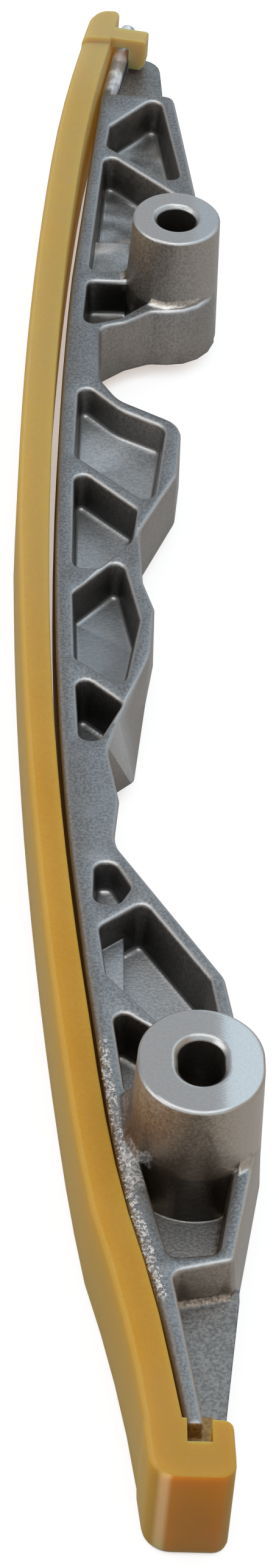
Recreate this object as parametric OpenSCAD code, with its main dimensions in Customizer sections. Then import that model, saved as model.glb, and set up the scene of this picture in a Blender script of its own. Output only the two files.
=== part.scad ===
// Timing chain guide: a die-cast support that carries a clipped-on nylon slide liner.
// Origin: centre of the round bore on its machined face. +Y runs away from the slotted boss,
// +Z leaves the machined faces, and the slide face looks toward -X.

/* [Fixings] */
// Distance from the round bore to the slot
boss_spacing = 195; // [194:0.5:196]
// Diameter of the round boss at its machined face
boss_d = 15; // [14.6:0.1:15.4]
// Width of the slotted boss at its machined face
slot_boss_w = 17.8; // [17.4:0.1:18.2]
// Diameter of the round bore
bore_d = 6.8; // [6.6:0.1:7.4]
// Width of the slot
slot_w = 6.6; // [6.4:0.1:7.2]
// Extra length of the slot and its boss along Y
slot_travel = 2; // [1.6:0.1:2.4]
// Width of the chamfer round each hole
hole_chamfer = 0.6; // [0.3:0.1:0.8]

/* [Casting] */
// Height of the machined faces above the rim
stand_off = 13; // [12:0.5:14]
// Depth of the casting from the rim to its back
body_depth = 11; // [10.5:0.25:12]
// Depth of the pockets below the rim
pocket_depth = 7; // [6.5:0.25:7.5]
// Width of the rail beside the liner
rail_w = 2.85; // [2.6:0.05:3.1]
// Extra spread of the outer walls at the back
wall_draft = 0.2; // [0:0.1:0.6]
// Spread of the pocket walls from floor to rim
pocket_draft = 0.5; // [0.3:0.05:0.6]
// Radius of the cast edges
edge_r = 0.65; // [0.5:0.05:0.7]

/* [Liner] */
// Width of the slide face along Z
liner_depth = 17.5; // [16.5:0.25:18.5]
// Thickness of the liner
liner_t = 5.3; // [4.9:0.1:5.6]
// Gap between the liner and the rail
liner_gap = 1.1; // [0.9:0.05:1.3]
// Radius of the slide face's long edges
liner_edge_r = 1.3; // [1:0.1:1.6]
// Clearance of the clips round the casting's tongues
clip_clear = 0.35; // [0.25:0.05:0.45]

/* [Hidden] */
// Smoothness of cylinders, and the number of chords in a drawn corner
$fn = 64;
arc_chords = 5;
overlap = 0.4;

// Heights
rim_z = -stand_off;
back_z = rim_z - body_depth;
floor_z = rim_z - pocket_depth;
mid_z = rim_z - body_depth / 2;
liner_top = mid_z + liner_depth / 2;
liner_bottom = mid_z - liner_depth / 2;
tip_plate_z = rim_z - 3;

// Stations along Y: the slot, the rail's deepest point, and both ends of the casting and the liner
slot_y = -boss_spacing;
rail_apex_y = slot_y + 118;
rim_top_y = 55;
rail_end_y = slot_y - 53;
liner_end_y = slot_y - 64;
liner_tip_y = 75.5;

// The rail is two arcs that meet at its deepest point, with a slight step to the side below the slot
rail_apex_x = -20.1;
rail_upper_r = 1080;
rail_lower_r = 830;

// The liner bends in toward the casting near its tip
tip_bend_y = 30;
tip_bend_r = 530;

// Bosses widen toward the back by this much for each millimetre of depth
boss_draft = 0.035;
boss_chamfer = 0.3;

function arc_rise(r, run) = r - sqrt(r * r - run * run);
function swell(y, centre, half, height) = height * pow(max(0, 1 - pow((y - centre) / half, 2)), 2);
function rail_x(y) = rail_apex_x + arc_rise(y > rail_apex_y ? rail_upper_r : rail_lower_r, y - rail_apex_y)
    + swell(y, slot_y - 5, 27, -0.38) + swell(y, slot_y - 36, 22, 0.78);
function inner_x(y) = rail_x(y) - liner_gap + (y > tip_bend_y ? arc_rise(tip_bend_r, y - tip_bend_y) : 0);

// Tongues of the casting that the clips hold
tip_tongue_w = 2.7;
tip_tongue_top = rim_z + 0.8;
tip_tongue_lean = 10.5;
tip_tongue_slope = 4;
tip_tongue_y = 67;
tip_tongue_x = inner_x(tip_tongue_y) + tip_tongue_w / 2 + clip_clear + 0.1;
tip_tongue_end_y = 74.4;
end_tongue_w = 2.7;
end_tongue_x = rail_x(rail_end_y) + end_tongue_w / 2;
end_tongue_top = rim_z - 3;
end_tongue_end_y = slot_y - 57.7;

// Clips of the liner
strap_top = liner_top + 1;
strap_t = 2;
strap_y = [66.5, 69.8];
lip_t = 3;
lip_bottom = tip_plate_z + 0.8;
hook_t = 3;
hook_tip_y = slot_y - 54.6;
hook_right_x = end_tongue_x + end_tongue_w / 2 + clip_clear + hook_t;

// Rounded outlines: each corner is [x, y, radius] and becomes an arc
function flat(v) = [v.x, v.y];
function unit(v) = v / norm(v);
function side(v) = [v.y, -v.x];
function turn(u, w) = atan2(u.x * w.y - u.y * w.x, u * w);
function spin(v, a) = [v.x * cos(a) - v.y * sin(a), v.x * sin(a) + v.y * cos(a)];
function corner(before, at, after) =
    let (u = unit(flat(at) - flat(before)),
         w = unit(flat(after) - flat(at)),
         a = turn(u, w),
         hand = a < 0 ? -1 : 1,
         start = flat(at) - u * at.z * tan(abs(a) / 2),
         centre = start - side(u) * at.z * hand)
    at.z == 0 ? [flat(at)] : [for (i = [0 : arc_chords]) centre + spin(start - centre, a * i / arc_chords)];
function before(pts, i) = pts[(i + len(pts) - 1) % len(pts)];
function after(pts, i) = pts[(i + 1) % len(pts)];
function rounded(pts) = [for (i = [0 : len(pts) - 1]) each corner(before(pts, i), pts[i], after(pts, i))];

// Moves the sides of an outline out by g, and changes its corner radii to suit
least_r = 0.1;
function grown(pts, g) = [for (i = [0 : len(pts) - 1])
    let (u = side(unit(flat(pts[i]) - flat(before(pts, i)))),
         w = side(unit(flat(after(pts, i)) - flat(pts[i]))),
         hand = turn(u, w) < 0 ? -1 : 1,
         p = flat(pts[i]) + (u + w) * g / (1 + u * w),
         r = pts[i].z)
    [p.x, p.y, r == 0 ? 0 : max(least_r, r + hand * g)]];

// A solid through rings of equal point count. Its ends are closed by the given triangles, or by fans.
function lift(poly, z) = [for (p = poly) [p.x, p.y, z]];
function middle(ring) = [for (p = ring) 1] * ring / len(ring);
module skin(rings, cap = []) {
    n = len(rings[0]);
    top = (len(rings) - 1) * n;
    hub = top + n;
    walls = [for (k = [0 : n : top - n], i = [0 : n - 1])
        let (j = (i + 1) % n)
        each [[k + i, k + n + i, k + j], [k + j, k + n + i, k + n + j]]];
    fans = [for (i = [0 : n - 1])
        let (j = (i + 1) % n)
        each [[hub, i, j], [hub + 1, top + j, top + i]]];
    lids = [for (t = cap) each [t, [top + t[2], top + t[1], top + t[0]]]];
    hubs = len(cap) ? [] : [middle(rings[0]), middle(rings[len(rings) - 1])];
    polyhedron(points = concat([for (r = rings) each r], hubs),
               faces = concat(walls, len(cap) ? lids : fans), convexity = 10);
}

// A slab between drawn right sides, each listed from low to high Y, and a curved left side. Its levels
// are [z, right side, growth of the right side, growth of the left side]. The left side is a function of
// Y and the level, and the upper half rises along Y by the given amount.
rail_side = function (y, level) rail_x(y) - level[3];
module slab(levels, left_x, rise = function (y) 0) {
    rings = [for (k = [0 : len(levels) - 1])
        let (l = levels[k],
             low = l[1][0].y,
             high = l[1][len(l[1]) - 1].y,
             closed = concat([[left_x(low, l), low, 0]], l[1], [[left_x(high, l), high, 0]]),
             pts = grown(closed, l[2]),
             edge = [for (i = [1 : len(pts) - 2]) each corner(pts[i - 1], pts[i], pts[i + 1])],
             back = [for (i = [len(edge) - 1 : -1 : 0]) [left_x(edge[i].y, l), edge[i].y]],
             lifted = k < len(levels) / 2 ? 0 : 1)
        [for (p = concat(edge, back)) [p.x, p.y, l[0] + lifted * rise(p.y)]]];
    last = len(rings[0]) - 1;
    cap = [for (i = [0 : (last - 1) / 2 - 1]) each [[i, i + 1, last - i], [i + 1, last - i - 1, last - i]]];
    skin(rings, cap);
}

// A ring with straight flanks along Y
half_turn_chords = 32;
function obround(r, travel) = [for (s = [1, -1], i = [0 : half_turn_chords])
    let (a = 180 * i / half_turn_chords)
    s * [r * cos(a), r * sin(a) + travel / 2]];

module round_boss(r) {
    rotate_extrude()
        polygon([[0, back_z], [r - boss_draft * back_z, back_z],
                 [r, -boss_chamfer], [r - boss_chamfer, 0], [0, 0]]);
}

// Fillets where the bosses leave the rim, kept inside the flat of the rim
foot_fillet = 1.6;
fillet_turns = [for (i = [0 : arc_chords]) 90 * i / arc_chords];
module rim_prism() {
    slab([for (z = [rim_z - overlap, rim_z + 2 * foot_fillet]) [z, body_rim, -edge_r, -edge_r]], rail_side);
}

module round_boss_foot(r) {
    rotate_extrude()
        polygon(concat(
            [[0, rim_z - overlap], [r + foot_fillet, rim_z - overlap]],
            [for (a = fillet_turns) [r + foot_fillet * (1 - sin(a)), rim_z + foot_fillet * (1 - cos(a))]],
            [[0, rim_z + foot_fillet]]
        ));
}

module slot_boss_foot(r, travel) {
    skin(concat(
        [lift(obround(r + foot_fillet, travel), rim_z - overlap)],
        [for (a = fillet_turns)
            lift(obround(r + foot_fillet * (1 - sin(a)), travel), rim_z + foot_fillet * (1 - cos(a)))]
    ));
}

module boss_feet() {
    spread = -boss_draft * (rim_z + foot_fillet);
    intersection() {
        rim_prism();
        union() {
            round_boss_foot(boss_d / 2 + spread);
            translate([0, slot_y, 0])
                slot_boss_foot(slot_boss_w / 2 + spread, slot_travel);
        }
    }
}

module slot_boss(r, travel) {
    skin([
        lift(obround(r - boss_draft * back_z, travel), back_z),
        lift(obround(r, travel), -boss_chamfer),
        lift(obround(r - boss_chamfer, travel), 0)
    ]);
}

// Holes run past both faces, and their chamfers start a little inside them
hole_z = [back_z - overlap, overlap];
module round_hole(d) {
    translate([0, 0, hole_z[0]])
        cylinder(h = hole_z[1] - hole_z[0], d = d);
    translate([0, 0, -hole_chamfer - overlap])
        cylinder(h = hole_chamfer + 2 * overlap, r1 = d / 2 - overlap, r2 = d / 2 + hole_chamfer + overlap);
}

module slot_hole(d, travel) {
    translate([0, 0, hole_z[0]])
        linear_extrude(hole_z[1] - hole_z[0]) {
            square([d, travel], center = true);
            for (s = [-0.5, 0.5])
                translate([0, s * travel])
                    circle(d = d);
        }
    skin([
        lift(obround(d / 2 - overlap, travel), -hole_chamfer - overlap),
        lift(obround(d / 2 + hole_chamfer + overlap, travel), overlap)
    ]);
}

// Space of a pocket: drafted walls, a rounded mouth and a rounded foot
foot_r = 0.8;
pocket_reach = 2;
module pocket(pts, depth = pocket_depth) {
    bottom = rim_z - depth;
    levels = [
        [bottom, -pocket_draft - foot_r],
        [bottom + foot_r * 0.3, -pocket_draft - foot_r * 0.3],
        [bottom + foot_r, -pocket_draft],
        [rim_z - edge_r, 0],
        [rim_z - edge_r * 0.3, edge_r * 0.3],
        [rim_z, edge_r],
        [rim_z + pocket_reach, edge_r]
    ];
    skin([for (l = levels) lift(rounded(grown(pts, l[1])), l[0])]);
}

// A pocket corner beside the rail, and one placed from the slot
function rail_pt(y, r) = [rail_x(y) + rail_w, y, r];
function slot_pt(x, y, r) = [x, slot_y + y, r];

// Outer side of the body at the rim, from the rail's end up to the top shoulder
rim_corners = [
    [0, rail_end_y, 0.4],
    slot_pt(-3.7, -27.2, 1.5),
    slot_pt(4.8, -24.9, 1),
    slot_pt(9.4, -1, 8),
    slot_pt(4.9, 28.4, 3),
    slot_pt(-11.1, 55.5, 6),
    slot_pt(-10.2, 64.8, 4),
    slot_pt(-11.9, 75.5, 5),
    slot_pt(-10.2, 82.4, 12),
    slot_pt(-5, 98, 12),
    slot_pt(-4.2, 108.8, 3),
    slot_pt(-6, 115.4, 2.5),
    slot_pt(-6.4, 127.5, 5),
    [0, -53, 5],
    [1, -39.9, 4.5],
    [-9.6, -33.7, 6],
    [-12.7, -28.2, 5],
    [-12.5, -14.4, 2],
    [-8.2, -12.9, 2],
    [-3.8, -9.6, 1.5],
    [8.7, -9.5, 8.5],
    [1.2, rim_top_y, 2]
];

// The same corners at the back, where the walls have spread
foot_corners = [
    [0.2, rail_end_y, 0.4],
    slot_pt(-3.7, -27.4, 1.5),
    slot_pt(5.6, -25.4, 1),
    slot_pt(9.8, -1, 8),
    slot_pt(4.9, 28.4, 3),
    slot_pt(-11.6, 55.5, 6),
    slot_pt(-11.4, 64.8, 4),
    slot_pt(-11.6, 76.2, 2),
    slot_pt(-7.4, 80.2, 1.5),
    slot_pt(-5.4, 98, 12),
    slot_pt(-4, 107.5, 3),
    slot_pt(-6, 115.4, 2.5),
    slot_pt(-6.2, 127.2, 5),
    [0, -52.4, 5],
    [1.2, -40, 4.5],
    [-9.6, -33.9, 6],
    [-12.6, -28.4, 5],
    [-12.4, -16, 3],
    [-8, -12.2, 3],
    [-3.6, -10.1, 3],
    [9, -9.9, 8.5],
    [1.4, rim_top_y + 0.4, 2]
];

// Two straight runs get stations on the way, so that the rail beside them keeps its curve
function with_stations(pts) = [for (i = [0 : len(pts) - 1])
    each i == 0 || i == 2 ? [for (share = [0, 1/3, 2/3])
        let (p = flat(pts[i]) * (1 - share) + flat(pts[i + 1]) * share)
        [p.x, p.y, share == 0 ? pts[i].z : 0]] : [pts[i]]];
body_rim = with_stations(rim_corners);
body_foot = with_stations(foot_corners);
module body() {
    slab([
        [back_z, body_foot, wall_draft, 0],
        [rim_z - edge_r, body_rim, 0, 0],
        [rim_z - edge_r * 0.3, body_rim, -edge_r * 0.3, -edge_r * 0.3],
        [rim_z, body_rim, -edge_r, -edge_r]
    ], rail_side);
}

// Some pockets go further down than the others, and some are shallower
deep = pocket_depth + 2;
shallow = pocket_depth - 1.4;
module pockets() {
    pocket([[-1.4, 55.2, 1.6], rail_pt(44.8, 1.5), rail_pt(38.6, 1.5), [-0.8, 29.2, 1.5], [2, 29.5, 1.5]]);
    pocket([[-11.4, 36.8, 1.5], rail_pt(1.6, 1.5), [-4, 1.6, 1.5], [4.6, 8.6, 1.5], [3.4, 22.3, 1.5]]);
    pocket([rail_pt(-1.4, 1.5), rail_pt(-13.8, 1.5), [-9, -11.4, 1.5], [-3.6, -6, 1.5], [-3.6, -1.4, 1.5]]);
    pocket([rail_pt(-28.9, 1.5), rail_pt(-48.8, 1.5), [-4.2, -61, 1.7],
            [-1.8, -40.8, 2.2], [-9.3, -36.6, 10]], shallow);
    pocket([rail_pt(-51.7, 1.5), rail_pt(-76.8, 1.6), [-13.1, -77, 2], [-7.7, -69.8, 3], [-6.8, -62, 1.5]]);
    pocket([[-9.5, -73.8, 1.5], rail_pt(-83.1, 1.5), rail_pt(-98.4, 1.5),
            [-9.3, -105.2, 1.5], [-6.7, -89, 4]]);
    pocket([rail_pt(-101.4, 1.5), rail_pt(-117, 1.5), [-13.3, -117.2, 1.5], [-9.5, -108.5, 1.5]], deep);
    pocket([slot_pt(-14, 51.2, 1.5), slot_pt(-14.2, 43, 1.5), slot_pt(-10.5, 42.7, 1.5),
            slot_pt(-8.6, 46.3, 1.5), slot_pt(-11, 51.2, 1.5)], shallow);
    pocket([slot_pt(-6.7, 43.4, 1.5), rail_pt(slot_y + 38, 1.5), rail_pt(slot_y + 28.4, 1.5),
            slot_pt(0.8, 12, 1.5), slot_pt(4.9, 12, 1.5), slot_pt(2.7, 28, 2.5)], deep);
    pocket([rail_pt(slot_y + 22.4, 1.5), rail_pt(slot_y + 5.5, 1.5), slot_pt(-6, 4.5, 1.5),
            slot_pt(-1, 14.4, 1.5)], deep);
    pocket([slot_pt(-8.3, -6, 1.5), slot_pt(-4.2, -24.6, 1.8),
            slot_pt(2.8, -23.6, 1.8), slot_pt(5.6, -6, 1.5)], deep);
}

// Steps in two floors, and the web that joins the slotted boss to the rail
module steps() {
    translate([-14, 0, floor_z - overlap])
        cube([7, 15, pocket_depth - 4 + overlap]);
    translate([-13.5, slot_y + 24, rim_z - deep - overlap])
        cube([4, 17, deep - 5.3 + overlap]);
    web_foot = [[-10.8, 5], [-10.5, -3.3], [-8.5, -7.7], [-6.4, -7.3], [-3, 0]];
    web_waist = [[-9.2, 3.6], [-9.3, -3.2], [-7.9, -6.6], [-6.3, -6.4], [-3, 0]];
    web_top = [[-8, 2], [-8.1, -3], [-7.3, -5.6], [-6.4, -5.8], [-3, 0]];
    translate([0, slot_y, 0])
        skin([lift(web_foot, rim_z - overlap), lift(web_waist, rim_z + 3), lift(web_top, -2)]);
}

// Plates beyond the rim at both ends, and the tongues that the clips hold
module tip_plate() {
    corners = [[-11, rim_top_y - 1, 0], [-0.3, rim_top_y - 1, 0], [-1.1, 70.4, 4], [-8.6, 70.4, 0]];
    translate([0, 0, back_z])
        linear_extrude(tip_plate_z - back_z)
            polygon(rounded(corners));
    run = tip_tongue_end_y - rim_top_y + 2;
    translate([tip_tongue_x, tip_tongue_y, 0])
        rotate([tip_tongue_slope, 0, -tip_tongue_lean])
            translate([0, tip_tongue_end_y - tip_tongue_y, 0])
                rotate([90, 0, 0])
                    linear_extrude(run)
                        tip_tongue_section();
}

module tip_tongue_section() {
    r = tip_tongue_w / 2;
    low = back_z + 1;
    translate([-r, low])
        square([tip_tongue_w, tip_tongue_top - r - low]);
    translate([0, tip_tongue_top - r])
        circle(r);
}

module end_plate() {
    translate([0, slot_y, back_z])
        linear_extrude(floor_z - back_z)
            polygon([[-6, -24], [-1.5, -51], [3.2, -51], [6, -26.5], [6, -24]]);
    translate([end_tongue_x - end_tongue_w / 2, end_tongue_end_y, back_z])
        cube([end_tongue_w, rail_end_y + 1 - end_tongue_end_y, end_tongue_top - back_z]);
    cross_wall_foot();
}

// Fillet between the end plate and the cross wall, which runs between two corners of the body
plate_fillet = 1.2;
module cross_wall_foot() {
    depth = (pocket_depth - plate_fillet) / body_depth;
    ends = [for (i = [1, 2]) flat(rim_corners[i]) * (1 - depth) + flat(foot_corners[i]) * depth];
    along = ends[1] - ends[0];
    sink = 1.2;
    translate([ends[0].x, ends[0].y, floor_z])
        rotate([0, 0, atan2(along.y, along.x)])
            translate([-sink, -wall_draft * depth, 0])
                rotate([90, 0, 90])
                    linear_extrude(norm(along) + sink - 0.5)
                        polygon(concat(
                            [[overlap, -overlap], [-plate_fillet, -overlap]],
                            [for (a = fillet_turns) plate_fillet * [sin(a) - 1, 1 - cos(a)]],
                            [[overlap, plate_fillet]]
                        ));
}

module support_casting() {
    color([0.62, 0.63, 0.65])
    difference() {
        union() {
            difference() {
                union() {
                    body();
                    boss_feet();
                }
                pockets();
            }
            steps();
            tip_plate();
            end_plate();
            round_boss(boss_d / 2);
            translate([0, slot_y, 0])
                slot_boss(slot_boss_w / 2, slot_travel);
        }
        round_hole(bore_d);
        translate([0, slot_y, 0])
            slot_hole(slot_w, slot_travel);
    }
}

// Outer side of the liner: two shallow hollows along the slide face and a slight swell at its lower end,
// rounded off at both ends. Near a long edge the slide face stands back by side, and the ends by end.
end_round = 3.2;
tip_round = 3;
function rounding(r, side, end, run) =
    run > 0 ? (r - side) * (1 - sqrt(1 - pow(min(1, run / (r - end)), 2))) : 0;
function hollow(y, centre, half, depth) = depth * max(0, 1 - pow((y - centre) / half, 2));
function outer_x(y, side, end) = inner_x(y) - liner_t + side
    + hollow(y, slot_y + 62, 68, 0.8) + hollow(y, slot_y - 38, 19, 0.95) - hollow(y, liner_end_y, 10, 0.7)
    + rounding(end_round, side, end, liner_end_y + end_round - y)
    + rounding(tip_round, side, end, y - liner_tip_y + tip_round);

// Inner side of the liner, from the hook's end up to the tip, with close stations where it is rounded
hook_slope = 0.4;
strip_stations = 36;
strip_low = hook_tip_y + hook_slope;
strip_high = strap_y[0] - hook_slope;
end_corner = 2.2;
hook_corner = 1.4;
tip_corner = 1.2;
liner_side = concat(
    [[hook_right_x, liner_end_y, end_corner]],
    [for (run = [0.75, 0.9, 1.1]) [hook_right_x, liner_end_y + end_round * run, 0]],
    [[hook_right_x - 0.2, hook_tip_y, hook_corner]],
    [for (i = [0 : strip_stations])
        let (y = strip_low + (strip_high - strip_low) * i / strip_stations)
        [inner_x(y), y, 0]],
    [for (y = strap_y) [inner_x(y), y, 0]],
    [for (run = [1, 0.7, 0.5])
        let (y = liner_tip_y - tip_round * run)
        [inner_x(y), y, 0]],
    [[inner_x(liner_tip_y), liner_tip_y, tip_corner]]
);

// Long edges: how far a side with edge radius r stands back at a height h from the face
edge_chords = 3;
inner_edge_r = 0.5;
function stand_back(r, h) = h < r ? arc_rise(r, r - h) : 0;
module strip() {
    steps = [for (i = [0 : edge_chords]) liner_edge_r * (1 - cos(90 * i / edge_chords))];
    levels = concat(
        [for (h = steps) [liner_bottom + h, h, liner_edge_r]],
        [for (i = [edge_chords : -1 : 0]) [liner_top - steps[i], steps[i], inner_edge_r]]
    );
    edges = [for (l = levels) [l[0], liner_side, -stand_back(l[2], l[1]), -stand_back(liner_edge_r, l[1])]];
    slide_side = function (y, level) outer_x(y, -level[3], -level[2]);
    tip_rise = function (y) y < strap_y[0] - hook_slope / 2 ? 0 : strap_top - liner_top;
    slab(edges, slide_side, tip_rise);
}

// The strap crosses the tip tongue and its lip hangs down on the far side
module strap() {
    near = tip_tongue_w / 2 + clip_clear;
    far = near + lip_t;
    top = strap_top - 0.1;
    translate([tip_tongue_x, tip_tongue_y, 0])
        rotate([0, 0, -tip_tongue_lean])
            translate([0, strap_y[1] - tip_tongue_y, 0])
                rotate([90, 0, 0])
                    linear_extrude(strap_y[1] - strap_y[0])
                        polygon([[-near - 1.2, top - strap_t], [near, top - strap_t], [near, lip_bottom],
                                 [far - 0.9, lip_bottom], [far, lip_bottom + 1.2], [far, top - 0.4],
                                 [far - 0.4, top], [-near - 1.2, top]]);
}

module hook_notch() {
    w = end_tongue_w + 2 * clip_clear;
    low = end_tongue_end_y - 0.6;
    translate([end_tongue_x - w / 2, low, liner_bottom - overlap])
        cube([w, rail_end_y - 0.5 - low, liner_depth + 2 * overlap]);
}

module slide_liner() {
    color([0.8, 0.6, 0.25]) {
        difference() {
            strip();
            hook_notch();
        }
        strap();
    }
}

support_casting();
slide_liner();
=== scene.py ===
"""Looks of a timing chain guide: an as-cast aluminium support with a clipped-on amber nylon slide liner."""

import math
import random

import bmesh
import bpy
from mathutils import Matrix, Vector


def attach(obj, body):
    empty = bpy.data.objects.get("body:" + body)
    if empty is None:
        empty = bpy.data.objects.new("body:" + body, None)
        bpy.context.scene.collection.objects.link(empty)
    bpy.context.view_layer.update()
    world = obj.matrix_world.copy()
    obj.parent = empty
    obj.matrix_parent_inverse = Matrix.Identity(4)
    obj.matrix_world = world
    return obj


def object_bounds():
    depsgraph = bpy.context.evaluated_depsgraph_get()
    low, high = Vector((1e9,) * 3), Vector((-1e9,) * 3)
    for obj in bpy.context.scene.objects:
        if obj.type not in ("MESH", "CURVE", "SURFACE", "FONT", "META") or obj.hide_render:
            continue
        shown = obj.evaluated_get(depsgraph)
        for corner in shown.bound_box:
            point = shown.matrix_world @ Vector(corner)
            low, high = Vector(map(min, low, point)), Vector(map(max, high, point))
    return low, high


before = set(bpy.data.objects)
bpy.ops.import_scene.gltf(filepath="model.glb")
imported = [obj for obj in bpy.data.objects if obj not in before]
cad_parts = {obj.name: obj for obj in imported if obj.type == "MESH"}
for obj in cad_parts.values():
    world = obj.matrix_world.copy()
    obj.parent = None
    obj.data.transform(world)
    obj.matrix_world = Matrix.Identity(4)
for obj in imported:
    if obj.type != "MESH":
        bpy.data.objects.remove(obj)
cad_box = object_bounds()

# Lengths in metres, in the part's own frame
MM = 0.001
SLOT_Y = -195 * MM
RIM_Z = -13 * MM
RAIL_APEX = Vector((-20.1 * MM, -77 * MM))
RAIL_LOWER_RADIUS = 830 * MM
RAIL_SWELLS = ((SLOT_Y - 5 * MM, 27 * MM, -0.38 * MM), (SLOT_Y - 36 * MM, 22 * MM, 0.78 * MM))
BOSS_FACE_DEPTH = 0.25 * MM
EDGE_RADIUS = 0.65 * MM
TORN_ABOVE = 14 * MM
TORN_BELOW = 30 * MM
HOLE_REACH = 4.5 * MM
TOOL_PITCH = 0.5 * MM

# Places along the guide
LINER_END_Y = SLOT_Y - 64 * MM
RAIL_END_Y = SLOT_Y - 53 * MM
HOOK_GLOW_Y = SLOT_Y - 46.2 * MM
CROSS_WALL_Y = SLOT_Y - 26 * MM
DARKER_POCKET_Y = (-100 * MM, -77 * MM)
UPPER_POCKETS_Y = -16 * MM
RIM_TOP_Y = 55 * MM
POCKETS_Y = (CROSS_WALL_Y + 2 * MM, RIM_TOP_Y - 1 * MM)

# Viewpoint: tilt up from straight down, turn about the vertical and roll about the view axis
CAMERA_AT = Vector((-39.35, -593.43, 438.30)) * MM
CAMERA_TILT = math.radians(46.03)
CAMERA_TURN = math.radians(3.95)
CAMERA_ROLL = math.radians(-4.72)

# Focal length in pixels of a picture this high, and the sensor's length along that side in millimetres
FOCAL_LENGTH = 7000
IMAGE_HEIGHT = 2576
SENSOR = 36


def rail_edge(y):
    """Left edge of the rail below its deepest point, with its slight step to the side below the slot."""
    run = y - RAIL_APEX.y
    bow = RAIL_LOWER_RADIUS - math.sqrt(RAIL_LOWER_RADIUS ** 2 - run ** 2)
    step = sum(height * max(0, 1 - ((y - centre) / half) ** 2) ** 2 for centre, half, height in RAIL_SWELLS)
    return RAIL_APEX.x + bow + step


class Graph:
    """Short calls that add nodes to one tree."""

    def __init__(self, tree):
        self.tree = tree

    def node(self, kind, **settings):
        made = self.tree.nodes.new(kind)
        for key, value in settings.items():
            setattr(made, key, value)
        return made

    def feed(self, socket, value):
        if isinstance(value, bpy.types.NodeSocket):
            self.tree.links.new(value, socket)
        else:
            socket.default_value = value

    def split(self, vector):
        made = self.node("ShaderNodeSeparateXYZ")
        self.feed(made.inputs[0], vector)
        return made.outputs

    def math(self, operation, *values):
        made = self.node("ShaderNodeMath", operation=operation)
        for socket, value in zip(made.inputs, values):
            self.feed(socket, value)
        return made.outputs[0]

    def product(self, *values):
        total = values[0]
        for value in values[1:]:
            total = self.math("MULTIPLY", total, value)
        return total

    def rise(self, value, start, end):
        """0 below start and 1 above end, or the other way round when end is the smaller."""
        made = self.node("ShaderNodeMapRange", interpolation_type="SMOOTHSTEP")
        self.feed(made.inputs["Value"], value)
        self.feed(made.inputs["From Min"], min(start, end))
        self.feed(made.inputs["From Max"], max(start, end))
        self.feed(made.inputs["To Min"], 0.0 if start < end else 1.0)
        self.feed(made.inputs["To Max"], 1.0 if start < end else 0.0)
        return made.outputs["Result"]

    def between(self, value, low, high, soft):
        return self.product(self.rise(value, low - soft, low), self.rise(value, high + soft, high))

    def swell(self, value, centre, half, height):
        share = self.math("DIVIDE", self.math("SUBTRACT", value, centre), half)
        bell = self.math("MAXIMUM", self.math("SUBTRACT", 1.0, self.product(share, share)), 0.0)
        return self.product(bell, bell, height)

    def past_rail(self, x, y):
        """Distance to the right of the rail's even curve below its deepest point."""
        run = self.math("SUBTRACT", y, RAIL_APEX.y)
        bow = self.math("DIVIDE", self.product(run, run), 2 * RAIL_LOWER_RADIUS)
        return self.math("SUBTRACT", self.math("SUBTRACT", x, RAIL_APEX.x), bow)

    def rail_step(self, y):
        """How far the rail leaves its even curve below the slot."""
        return self.math("ADD", *[self.swell(y, *swell) for swell in RAIL_SWELLS])


class Finish(Graph):
    """Short calls that build the nodes of one material."""

    def __init__(self, name):
        self.material = bpy.data.materials.new(name)
        self.material.use_nodes = True
        super().__init__(self.material.node_tree)
        self.tree.nodes.clear()
        place = self.node("ShaderNodeTexCoord").outputs
        self.position = place["Object"]
        self.x, self.y, self.z = self.split(place["Object"])
        self.facing_x, self.facing_y, self.facing_z = self.split(place["Normal"])

    def noise(self, size, detail=3.0):
        """Smooth noise whose lumps are about the given size."""
        scaled = self.node("ShaderNodeMapping")
        self.feed(scaled.inputs["Vector"], self.position)
        self.feed(scaled.inputs["Scale"], (1 / size, 1 / size, 1 / size))
        made = self.node("ShaderNodeTexNoise")
        self.feed(made.inputs["Vector"], scaled.outputs[0])
        self.feed(made.inputs["Scale"], 1.0)
        self.feed(made.inputs["Detail"], detail)
        return made.outputs["Fac"]

    def blend(self, amount, first, second):
        made = self.node("ShaderNodeMix", data_type="RGBA")
        self.feed(made.inputs[0], amount)
        self.feed(made.inputs[6], first)
        self.feed(made.inputs[7], second)
        return made.outputs[2]

    def level(self, amount, first, second):
        """A number that runs from first to second."""
        made = self.node("ShaderNodeMix", data_type="FLOAT")
        self.feed(made.inputs[0], amount)
        self.feed(made.inputs[2], first)
        self.feed(made.inputs[3], second)
        return made.outputs[0]

    def openness(self, reach):
        """1 on open ground and lower where other surfaces stand close."""
        made = self.node("ShaderNodeAmbientOcclusion", samples=6)
        self.feed(made.inputs["Distance"], reach)
        return made.outputs["AO"]

    def soft_edges(self, radius):
        made = self.node("ShaderNodeBevel", samples=6)
        self.feed(made.inputs["Radius"], radius)
        return made.outputs[0]

    def bump(self, height, depth, normal):
        made = self.node("ShaderNodeBump")
        self.feed(made.inputs["Height"], height)
        self.feed(made.inputs["Distance"], depth)
        self.feed(made.inputs["Strength"], 1.0)
        self.feed(made.inputs["Normal"], normal)
        return made.outputs[0]

    def surface(self, **inputs):
        """Finishes the material with one shader. Underscores stand for the spaces in a socket's name."""
        shader = self.node("ShaderNodeBsdfPrincipled")
        for name, value in inputs.items():
            self.feed(shader.inputs[name.replace("_", " ")], value)
        output = self.node("ShaderNodeOutputMaterial")
        self.tree.links.new(shader.outputs[0], output.inputs["Surface"])
        return self.material


def grey(value, warmth=0.0):
    return (value * (1 + warmth), value, value * (1 - warmth), 1)


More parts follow.
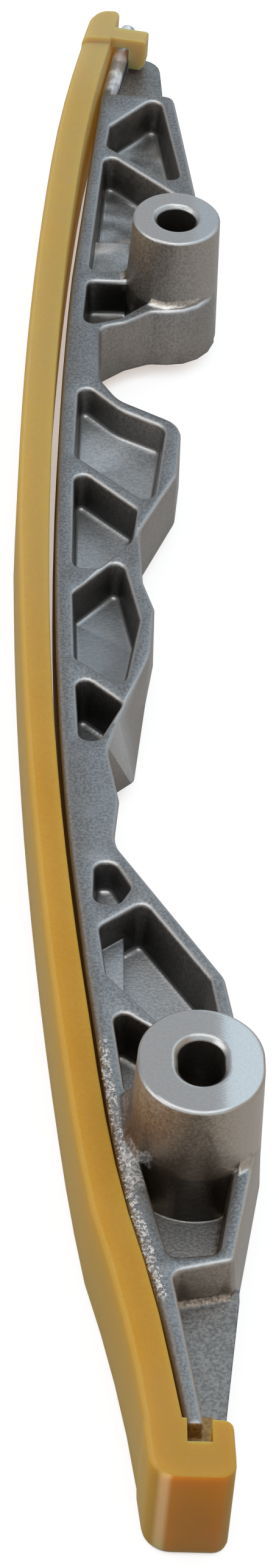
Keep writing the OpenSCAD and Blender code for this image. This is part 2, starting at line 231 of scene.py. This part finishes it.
class CastMetal(Finish):
    """The casting's material, with a mask from 0 to 1 for each kind of surface."""

    def __init__(self):
        super().__init__("cast_aluminium")
        self.grain = self.noise(0.45 * MM, 2.0)
        self.speck = self.rise(self.grain, 0.3, 0.7)
        self.mottle = self.noise(4 * MM, 4.0)
        self.stain = self.noise(14 * MM, 3.0)
        self.lump = self.noise(7 * MM, 1.0)
        self.open_ground = self.openness(12 * MM)
        self.find_regions()
        self.find_holes()
        self.find_hook()
        self.find_rail()

    def find_regions(self):
        """Floors, walls, edges and the two ends."""
        self.upward = self.rise(self.facing_z, 0.8, 0.96)
        self.upright = self.rise(self.math("ABSOLUTE", self.facing_z), 0.5, 0.12)
        self.lower_end = self.rise(self.y, SLOT_Y + 30 * MM, SLOT_Y + 10 * MM)
        self.below_slot = self.rise(self.y, SLOT_Y - 2 * MM, SLOT_Y - 8 * MM)
        self.below_rim = self.rise(self.z, RIM_Z - 0.1 * MM, RIM_Z - 0.8 * MM)
        self.low_wall = self.product(self.upright, self.below_rim)
        self.in_pockets = self.between(self.y, *POCKETS_Y, 0.5 * MM)
        past_upper_start = self.rise(self.y, UPPER_POCKETS_Y, UPPER_POCKETS_Y + 6 * MM)
        self.upper_pockets = self.product(self.in_pockets, past_upper_start)
        deep = self.rise(self.z, RIM_Z - 2 * MM, RIM_Z - 4 * MM)
        self.pocket_floor = self.product(self.upward, deep, self.in_pockets)
        self.lumpy = self.product(self.pocket_floor, self.upper_pockets)
        self.edge = self.product(self.rise(self.facing_z, 0.2, 0.45), self.rise(self.facing_z, 0.99, 0.93))
        self.dull_edge = self.product(self.below_rim, self.lower_end)
        on_tongue = self.rise(self.z, RIM_Z - 2.4 * MM, RIM_Z - 1.6 * MM)
        self.polished = self.product(self.rise(self.y, RIM_TOP_Y + 0.5 * MM, RIM_TOP_Y + 2 * MM), on_tongue)

    def find_holes(self):
        """Distance from the nearer hole's axis, and the cut faces round both holes."""
        nearer_slot = self.math("LESS_THAN", self.y, SLOT_Y / 2)
        along = self.math("ADD", self.y, self.product(nearer_slot, -SLOT_Y))
        squares = self.math("ADD", self.product(self.x, self.x), self.product(along, along))
        self.from_hole = self.math("SQRT", squares)
        at_top = self.rise(self.z, -BOSS_FACE_DEPTH - 0.1 * MM, -BOSS_FACE_DEPTH)
        self.face = self.product(at_top, self.upward)

    def find_hook(self):
        """The end of the lower tongue and the plate beside it, which the hook surrounds."""
        right_of_tongue = self.between(self.x, -0.3 * MM, 1.8 * MM, 0.3 * MM)
        under_hook = self.rise(self.y, HOOK_GLOW_Y, HOOK_GLOW_Y - 0.6 * MM)
        beside_tongue = self.product(right_of_tongue, self.below_rim, under_hook)
        tongue_end = self.rise(self.y, RAIL_END_Y + 0.4 * MM, RAIL_END_Y + 0.1 * MM)
        self.in_hook = self.math("MAXIMUM", tongue_end, beside_tongue)

    def find_rail(self):
        """The lip beside the liner, the foot of the web and the torn parting line."""
        inset = self.math("SUBTRACT", self.past_rail(self.x, self.y), self.rail_step(self.y))
        self.rail_lip = self.product(
            self.rise(self.facing_x, -0.1, -0.35),
            self.between(inset, -1 * MM, 0.8 * MM, 0.2 * MM),
            self.rise(self.z, RIM_Z - 2.2 * MM, RIM_Z - 0.9 * MM),
            self.rise(self.y, RAIL_APEX.y + 20 * MM, RAIL_APEX.y),
        )
        self.web_foot = self.product(
            self.between(inset, 1.2 * MM, 4.2 * MM, 0.6 * MM),
            self.between(self.y, SLOT_Y - 11 * MM, SLOT_Y - 5 * MM, 2 * MM),
            self.between(self.z, RIM_Z - 1 * MM, RIM_Z + 1.2 * MM, 0.6 * MM),
        )
        self.torn = self.product(
            self.rise(self.noise(0.6 * MM, 4.0), 0.47, 0.6),
            self.between(inset, -1 * MM, 1.1 * MM, 0.5 * MM),
            self.between(self.y, SLOT_Y - TORN_BELOW, SLOT_Y + TORN_ABOVE, 3 * MM),
            self.rise(self.z, RIM_Z - 1.5 * MM, RIM_Z - 0.8 * MM),
        )

    def speckled(self, dark, light, warmth=0.0):
        """A grey that changes from grain to grain."""
        return self.blend(self.speck, grey(dark, warmth), grey(light, warmth))


def bare_skin(g):
    """Grey skin of the rim and the rail, with a duller plate at the lower end."""
    skin = g.speckled(0.165, 0.285, -0.04)
    skin = g.blend(g.product(g.rise(g.mottle, 0.45, 0.75), 0.4), skin, grey(0.33, -0.04))
    end_plate = g.product(g.math("SUBTRACT", 1.0, g.in_pockets), g.below_rim, g.lower_end)
    return g.blend(end_plate, skin, g.speckled(0.16, 0.28, 0.02))


def pocket_floors_with_painted_light(g, skin):
    """Pocket floors paled with painted light, one of them darker and the upper ones darker and lumpy, with
    painted warm highlights on the lumps.
    """
    # Painted light: pocket floors get a paler grey than the rim, palest at the lower end.
    painted_light_tone = g.blend(g.lower_end, g.speckled(0.42, 0.53, -0.04), g.speckled(0.7, 0.9))
    skin = g.blend(g.product(g.pocket_floor, 0.7), skin, painted_light_tone)
    # One pocket floor is darker.
    darker_floor = g.product(g.pocket_floor, g.between(g.y, *DARKER_POCKET_Y, 3 * MM), 0.55)
    skin = g.blend(darker_floor, skin, grey(0.22, -0.06))
    skin = g.blend(g.product(g.lumpy, 0.8), skin, g.speckled(0.2, 0.3))
    # Painted warm highlights on the tops of the lumps.
    lump_highlight = g.product(g.lumpy, g.rise(g.lump, 0.54, 0.68), 0.4)
    return g.blend(lump_highlight, skin, grey(0.55, 0.12))


def warm_walls(g, skin):
    """Walls tinted warm, more in patches, with painted light on their right sides and painted shade at the
    foot of the slotted boss.
    """
    patchy = g.rise(g.stain, 0.42, 0.62)
    warm_patch_share = g.level(g.lower_end, g.product(patchy, 0.4), g.level(patchy, 0.7, 1.0))
    warm_patch_tone = g.blend(g.lower_end, g.speckled(0.21, 0.31, 0.18), g.speckled(0.26, 0.39, 0.24))
    skin = g.blend(g.upright, skin, g.blend(warm_patch_share, g.speckled(0.2, 0.3, 0.08), warm_patch_tone))
    # Painted light: walls facing right get their own warm grey, lighter above the rim.
    lit_right_side = g.product(g.upright, g.rise(g.facing_x, 0.1, 0.7), g.level(g.lower_end, 0.35, 0.7))
    low_tone = g.blend(g.lower_end, grey(0.18, 0.1), grey(0.28, 0.1))
    skin = g.blend(lit_right_side, skin, g.blend(g.below_rim, grey(0.39, 0.13), low_tone))
    # Painted shade: walls at the lower end darken toward the foot of the slotted boss.
    toward_foot = g.rise(g.z, -5 * MM, RIM_Z)
    foot_shade = g.product(g.upright, g.lower_end, toward_foot, g.rise(g.facing_x, 0.5, 0.1), 0.65)
    return g.blend(foot_shade, skin, grey(0.08, 0.25))


def painted_shade_and_patches(g, skin):
    """Painted shade on walls that stand close together, painted black in corners, painted warm highlights on
    enclosed upper pocket walls, painted shade on enclosed floors and dark mottled patches on the cross wall.
    """
    # Painted shade: low walls darken where other surfaces stand close, near black above the slot and warm
    # brown below it.
    shade_strength = g.level(g.rise(g.stain, 0.4, 0.6), 0.82, 0.97)
    recess_shade = g.product(g.rise(g.open_ground, 0.85, 0.4), g.low_wall, shade_strength)
    skin = g.blend(recess_shade, skin, g.blend(g.below_slot, grey(0.045, 0.04), grey(0.16, 0.22)))
    # Painted shade: enclosed corners and far pocket walls facing the front go black.
    corner = g.product(g.rise(g.open_ground, 0.55, 0.25), g.level(g.below_slot, 0.9, 0.3))
    facing_front = g.rise(g.facing_y, -0.88, -0.97)
    far_corner = g.product(facing_front, g.rise(g.open_ground, 0.75, 0.5), g.in_pockets, 0.85)
    skin = g.blend(g.product(g.math("MAXIMUM", corner, far_corner), g.low_wall), skin, grey(0.02, 0.05))
    # Painted warm highlights in mottled patches on enclosed walls of the upper pockets.
    wall_highlights = g.product(g.upper_pockets, g.low_wall, g.rise(g.open_ground, 0.95, 0.7), 0.5)
    skin = g.blend(g.product(wall_highlights, g.rise(g.mottle, 0.5, 0.64)), skin, grey(0.26, 0.12))
    # Painted shade on floors below the rim where other surfaces stand close.
    floor_shade = g.product(g.rise(g.open_ground, 0.6, 0.25), g.upward, g.below_rim, 0.4)
    skin = g.blend(floor_shade, skin, grey(0.1, 0.1))
    # Dark mottled patches on the cross wall below the slot.
    cross_wall = g.product(g.rise(g.facing_y, -0.5, -0.9), g.rise(g.y, CROSS_WALL_Y, CROSS_WALL_Y - 3 * MM))
    cross_wall_patches = g.product(g.upright, cross_wall, g.rise(g.mottle, 0.3, 0.6), 0.9)
    return g.blend(cross_wall_patches, skin, grey(0.1, 0.28))


def edge_highlights(g, skin):
    """Painted highlights on the edges, brightest toward the front, warm at the feet of the bosses and dull at
    the lower end.
    """
    # Painted highlight colours for the rounded edges.
    painted_light_tone = g.blend(g.rise(g.facing_y, 0.0, -0.35), grey(0.42), grey(0.62))
    boss_foot = g.between(g.z, RIM_Z + 0.5 * MM, RIM_Z + 2.5 * MM, 0.4 * MM)
    painted_light_tone = g.blend(boss_foot, painted_light_tone, g.speckled(0.3, 0.6, 0.14))
    painted_light_tone = g.blend(g.dull_edge, painted_light_tone, g.speckled(0.13, 0.36, 0.25))
    painted_light_tone = g.blend(g.product(g.lower_end, g.rise(g.facing_x, 0.2, 0.4)), painted_light_tone, grey(0.42, 0.2))
    return g.blend(g.product(g.edge, 0.8), skin, painted_light_tone)


def machined_and_rubbed(g, skin):
    """An upper tongue worn bright, partly painted highlight in its bright mottles, cut boss faces and painted
    shade in the holes.
    """
    # Worn metal on the upper tongue, partly painted highlight in its bright mottles.
    rubbed_and_highlight = g.blend(g.rise(g.mottle, 0.42, 0.58), grey(0.42, -0.03), grey(0.88, -0.05))
    skin = g.blend(g.polished, skin, rubbed_and_highlight)
    skin = g.blend(g.face, skin, g.speckled(0.48, 0.52, -0.01))
    # Painted shade: the inner walls of the holes go near black.
    near_axis = g.rise(g.from_hole, HOLE_REACH + 0.2 * MM, HOLE_REACH)
    hole = g.product(near_axis, g.rise(g.z, -0.6 * MM, -0.9 * MM))
    return g.blend(g.product(hole, 0.85), skin, grey(0.05, 0.05))


def liner_side(g, skin):
    """A painted amber reflection inside the hook, a matt lip beside the liner and bright torn metal along the
    rail.
    """
    # Painted reflection of the amber liner on the metal inside the hook.
    skin = g.blend(g.in_hook, skin, g.blend(g.speck, (0.22, 0.11, 0.02, 1), (0.36, 0.22, 0.06, 1)))
    skin = g.blend(g.rail_lip, skin, g.speckled(0.22, 0.33))
    flecks = g.blend(g.rise(g.grain, 0.4, 0.6), grey(0.3), grey(0.8))
    skin = g.blend(g.product(g.web_foot, 0.7), skin, flecks)
    return g.blend(g.torn, skin, grey(0.85))


def relief(g):
    """Fine height of the surface: grain, torn metal, lumpy floors, rough walls and turning marks."""
    tool_marks = g.math("SINE", g.product(g.from_hole, math.tau / TOOL_PITCH))
    parts = (
        g.product(g.grain, g.level(g.face, 1.0, 0.004)),
        g.product(g.torn, 3.0),
        g.product(g.mottle, g.level(g.face, 1.2, 0.0)),
        g.product(g.lump, g.lumpy, 45.0),
        g.product(g.noise(2.2 * MM, 4.0), g.upright, 4.0),
        g.product(tool_marks, g.face, 0.002),
    )
    height = parts[0]
    for part in parts[1:]:
        height = g.math("ADD", height, part)
    return height


def cast_aluminium():
    """Grainy grey skin with warm walls, painted shade in the pockets and holes, painted highlights on the
    edges and machined boss faces.
    """
    g = CastMetal()
    skin = bare_skin(g)
    for layer in (pocket_floors_with_painted_light, warm_walls, painted_shade_and_patches, edge_highlights, machined_and_rubbed, liner_side):
        skin = layer(g, skin)
    matt = g.product(g.upright, g.rise(g.z, RIM_Z, RIM_Z + 1 * MM), 0.14)
    for region in (g.rail_lip, g.in_hook, g.product(g.web_foot, 0.4), g.product(g.polished, 0.4)):
        matt = g.math("MAXIMUM", matt, region)
    rough = g.level(g.grain, 0.34, 0.5)
    rough = g.level(g.edge, rough, g.level(g.dull_edge, 0.3, 0.5))
    rough = g.level(g.face, rough, 0.035)
    rough = g.level(g.torn, rough, 0.22)
    return g.surface(
        Base_Color=skin,
        Metallic=g.level(matt, 0.92, 0.2),
        Roughness=rough,
        Normal=g.bump(relief(g), 0.035 * MM, g.soft_edges(0.6 * MM)),
    )


def amber_nylon():
    """Satin amber plastic, paler toward the tip, with a browner lower end, painted highlights on its long
    edge and end corner, and a painted amber glow on its inner face beside the casting.
    """
    g = Finish("amber_nylon")
    cloud = g.noise(18 * MM, 3.0)
    grain = g.noise(0.5 * MM, 2.0)
    slide = g.rise(g.facing_x, -0.6, -0.95)
    # Painted highlight along the rounded long edge between the top and the slide face.
    long_edge_highlight = g.product(g.between(g.facing_x, -0.8, -0.5, 0.2), g.rise(g.facing_z, 0.3, 0.6))
    foot = g.product(g.rise(g.y, LINER_END_Y + 6 * MM, LINER_END_Y + 2 * MM), g.rise(g.facing_z, 0.6, 0.2))
    end = g.product(g.rise(g.facing_y, -0.7, -0.97), foot)
    # Painted highlight on the rounded corner at the lower end.
    rubbed_and_highlight = g.product(g.between(g.facing_x, -0.5, -0.4, 0.22), foot)
    brown = g.blend(cloud, (0.50, 0.17, 0.010, 1), (0.72, 0.31, 0.025, 1))
    skin = g.blend(g.rise(g.y, SLOT_Y + 40 * MM, -40 * MM), (0.46, 0.245, 0.022, 1), (0.435, 0.305, 0.095, 1))
    layers = (
        (g.rise(cloud, 0.35, 0.7), 0.35, (0.50, 0.31, 0.06, 1)),
        (g.rise(grain, 0.35, 0.7), 0.12, (0.58, 0.40, 0.13, 1)),
        (g.rise(g.y, 45 * MM, 68 * MM), 0.65, (0.46, 0.37, 0.17, 1)),
        (g.rise(g.y, SLOT_Y - 42 * MM, SLOT_Y - 52 * MM), 0.6, (0.46, 0.27, 0.06, 1)),
        (slide, 0.8, (0.50, 0.285, 0.03, 1)),
        (long_edge_highlight, 0.22, (0.62, 0.46, 0.18, 1)),
        (end, 0.85, brown),
        (rubbed_and_highlight, 0.65, (0.85, 0.62, 0.32, 1)),
    )
    for region, share, colour in layers:
        skin = g.blend(g.product(region, share), skin, colour)
    # Painted glow: the enclosed inner face that faces the casting glows amber.
    inner_glow = g.product(g.rise(g.facing_x, 0.4, 0.8), g.rise(g.openness(4 * MM), 0.9, 0.3))
    return g.surface(
        Base_Color=skin,
        Roughness=g.level(end, g.level(grain, 0.42, 0.56), 0.26),
        Specular_IOR_Level=0.14,
        Subsurface_Weight=1.0,
        Subsurface_Radius=(8 * MM, 4 * MM, 1.1 * MM),
        Subsurface_Scale=1.0,
        Emission_Color=(0.42, 0.17, 0.015, 1),
        Emission_Strength=g.product(inner_glow, 0.3),
        Normal=g.bump(g.math("ADD", grain, g.product(cloud, 3.0)), 0.012 * MM, g.soft_edges(0.15 * MM)),
    )


def shape_tree(name):
    """An empty modifier tree with its way in and its way out."""
    tree = bpy.data.node_groups.new(name, "GeometryNodeTree")
    for way in ("INPUT", "OUTPUT"):
        tree.interface.new_socket("Geometry", in_out=way, socket_type="NodeSocketGeometry")
    g = Graph(tree)
    return g, g.node("NodeGroupInput").outputs[0], g.node("NodeGroupOutput").inputs[0]


def smooth_by_angle(limit):
    """Joins split corners and smooths every edge flatter than the limit."""
    g, start, end = shape_tree("smooth_by_angle")
    join = g.node("GeometryNodeMergeByDistance")
    g.feed(join.inputs["Geometry"], start)
    g.feed(join.inputs["Distance"], 0.002 * MM)
    faces = g.node("GeometryNodeSetShadeSmooth", domain="FACE")
    g.feed(faces.inputs["Geometry"], join.outputs[0])
    angle = g.node("GeometryNodeInputMeshEdgeAngle")
    sharp = g.node("FunctionNodeCompare", operation="GREATER_THAN")
    g.feed(sharp.inputs[0], angle.outputs["Unsigned Angle"])
    g.feed(sharp.inputs[1], limit)
    edges = g.node("GeometryNodeSetShadeSmooth", domain="EDGE")
    g.feed(edges.inputs["Geometry"], faces.outputs[0])
    g.feed(edges.inputs["Selection"], sharp.outputs[0])
    g.feed(edges.inputs["Shade Smooth"], False)
    g.feed(end, edges.outputs[0])
    return g.tree


def even_slide():
    """Lets the liner's slide face run on evenly where its inner face follows the step in the rail."""
    g, start, end = shape_tree("even_slide")
    x, y, _ = g.split(g.node("GeometryNodeInputPosition").outputs[0])
    on_slide = g.rise(g.past_rail(x, y), -1.5 * MM, -4 * MM)
    shift = g.node("ShaderNodeCombineXYZ")
    g.feed(shift.inputs["X"], g.product(g.rail_step(y), on_slide, -1.0))
    moved = g.node("GeometryNodeSetPosition")
    g.feed(moved.inputs["Geometry"], start)
    g.feed(moved.inputs["Offset"], shift.outputs[0])
    g.feed(end, moved.outputs[0])
    return g.tree


def dress(node, material, *shapings):
    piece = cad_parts[node]
    piece.data.materials.clear()
    piece.data.materials.append(material)
    for shaping in shapings:
        piece.modifiers.new(shaping.name, "NODES").node_group = shaping


def torn_flash(count, seed):
    """Small ragged flakes left where the parting line was ground along the rail."""
    chance = random.Random(seed)
    shape = bmesh.new()
    for _ in range(count):
        y = SLOT_Y + chance.uniform(-TORN_BELOW, TORN_ABOVE)
        inset = chance.uniform(0.1, 1.5) * MM
        fall = EDGE_RADIUS - math.sqrt(EDGE_RADIUS ** 2 - max(0, EDGE_RADIUS - inset) ** 2)
        at = Vector((rail_edge(y) + inset, y, RIM_Z - fall - 0.04 * MM))
        reach = chance.uniform(0.1, 0.44) * MM
        turn = Matrix.Rotation(chance.uniform(0, math.tau), 3, "Z")
        base = [at + turn @ Vector((math.cos(a), 0.6 * math.sin(a), 0)) * reach for a in (0.3, 2.2, 4.5)]
        lean = Vector((chance.uniform(-1, 0.6), chance.uniform(-0.6, 0.6), chance.uniform(0.5, 1.0)))
        low = [shape.verts.new(corner) for corner in base]
        top = shape.verts.new(at + lean * reach)
        shape.faces.new(reversed(low))
        for first, second in zip(low, low[1:] + low[:1]):
            shape.faces.new((first, second, top))
    mesh = bpy.data.meshes.new("rail_flash")
    shape.to_mesh(mesh)
    shape.free()
    piece = bpy.data.objects.new("rail_flash", mesh)
    bpy.context.scene.collection.objects.link(piece)
    return piece


def torn_metal():
    """Bright freshly torn aluminium."""
    g = Finish("torn_metal")
    shade = g.rise(g.noise(0.3 * MM), 0.3, 0.7)
    return g.surface(
        Base_Color=g.blend(shade, grey(0.6), grey(0.95)),
        Metallic=0.2,
        Roughness=g.level(shade, 0.5, 0.3),
    )


def pale_floor():
    """White in the open and dimmer in a mirror, with painted shade and a painted warm reflection of the liner
    in narrow gaps, and a faint shadow.
    """
    g = Finish("pale_floor")
    cloth = g.rise(g.noise(30 * MM), 0.2, 0.8)
    matt = g.node("ShaderNodeBsdfDiffuse")
    g.feed(matt.inputs["Color"], g.blend(cloth, grey(0.20), grey(0.22)))
    glow = g.node("ShaderNodeEmission")
    path = g.node("ShaderNodeLightPath").outputs
    mirrored = g.math("MAXIMUM", path["Is Glossy Ray"], path["Is Transmission Ray"])
    seen = g.math("MAXIMUM", path["Is Camera Ray"], g.product(mirrored, 0.55))
    # Painted shade and a painted warm reflection: the glow dims and turns warm in narrow gaps.
    in_the_open = g.rise(g.openness(12 * MM), 0.08, 0.35)
    g.feed(glow.inputs["Color"], g.blend(in_the_open, (1.0, 0.82, 0.68, 1), (1, 1, 1, 1)))
    g.feed(glow.inputs["Strength"], g.product(seen, g.level(in_the_open, 0.45, 0.86)))
    both = g.node("ShaderNodeAddShader")
    g.tree.links.new(matt.outputs[0], both.inputs[0])
    g.tree.links.new(glow.outputs[0], both.inputs[1])
    output = g.node("ShaderNodeOutputMaterial")
    g.tree.links.new(both.outputs[0], output.inputs["Surface"])
    return g.material


def add_floor(height, half):
    mesh = bpy.data.meshes.new("floor")
    corners = [(half * x, half * y, height) for x, y in ((-1, -1), (1, -1), (1, 1), (-1, 1))]
    mesh.from_pydata(corners, [], [(0, 1, 2, 3)])
    floor = bpy.data.objects.new("floor", mesh)
    floor.data.materials.append(pale_floor())
    bpy.context.scene.collection.objects.link(floor)


def add_panel(name, at, target, size, radiance, colour):
    """A soft light panel that looks at the target. Its radiance is what a mirror would show."""
    light = bpy.data.lights.new(name, "AREA")
    light.shape = "RECTANGLE"
    light.size, light.size_y = size
    light.energy = radiance * math.pi * size[0] * size[1]
    light.color = colour
    panel = bpy.data.objects.new(name, light)
    panel.location = at
    panel.rotation_euler = (Vector(target) - Vector(at)).to_track_quat("-Z", "Y").to_euler()
    bpy.context.scene.collection.objects.link(panel)


def add_world(colour, strength):
    world = bpy.data.worlds.new("studio")
    world.use_nodes = True
    backdrop = world.node_tree.nodes["Background"]
    backdrop.inputs["Color"].default_value = colour
    backdrop.inputs["Strength"].default_value = strength
    bpy.context.scene.world = world


def add_camera():
    forward = Vector((
        math.sin(CAMERA_TURN) * math.sin(CAMERA_TILT),
        math.cos(CAMERA_TURN) * math.sin(CAMERA_TILT),
        -math.cos(CAMERA_TILT),
    ))
    right = Vector((math.cos(CAMERA_TURN), -math.sin(CAMERA_TURN), 0))
    down = forward.cross(right)
    across = math.cos(CAMERA_ROLL) * right + math.sin(CAMERA_ROLL) * down
    up = math.sin(CAMERA_ROLL) * right - math.cos(CAMERA_ROLL) * down
    lens = bpy.data.cameras.new("camera")
    lens.sensor_width = SENSOR
    lens.lens = FOCAL_LENGTH / IMAGE_HEIGHT * SENSOR
    lens.clip_start = 0.01
    camera = bpy.data.objects.new("camera", lens)
    camera.matrix_world = Matrix.Translation(CAMERA_AT) @ Matrix((across, up, -forward)).transposed().to_4x4()
    bpy.context.scene.collection.objects.link(camera)
    bpy.context.scene.camera = camera


smoothing = smooth_by_angle(math.radians(32))
dress("support_casting", cast_aluminium(), smoothing)
dress("slide_liner", amber_nylon(), even_slide(), smoothing)

flash = torn_flash(count=520, seed=7)
flash.data.materials.append(torn_metal())
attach(flash, "root")

add_floor(height=cad_box[0].z, half=3)
add_world(colour=grey(1.0, -0.02), strength=0.6)

# Light panels, each with its place, target and size in metres, then its radiance and colour
add_panel("overhead", (-0.1, -0.25, 1.35), (0, -0.08, 0), (1.2, 1.2), 1.45, (1.0, 0.99, 0.97))
add_panel("left_fill", (-1.1, -0.45, 0.5), (0, -0.1, 0), (0.9, 0.9), 1.3, (1.0, 0.98, 0.95))
add_panel("near_sky", (0.62, 0.5, 1.0), (0.62, 0.5, 0), (1.04, 1.2), 0.75, (0.66, 0.87, 1.0))
add_panel("far_sky", (0.62, 2.1, 1.0), (0.62, 2.1, 0), (1.04, 2.0), 0.19, (0.35, 0.7, 1.0))
add_camera()

bpy.context.scene.view_settings.view_transform = "Standard"
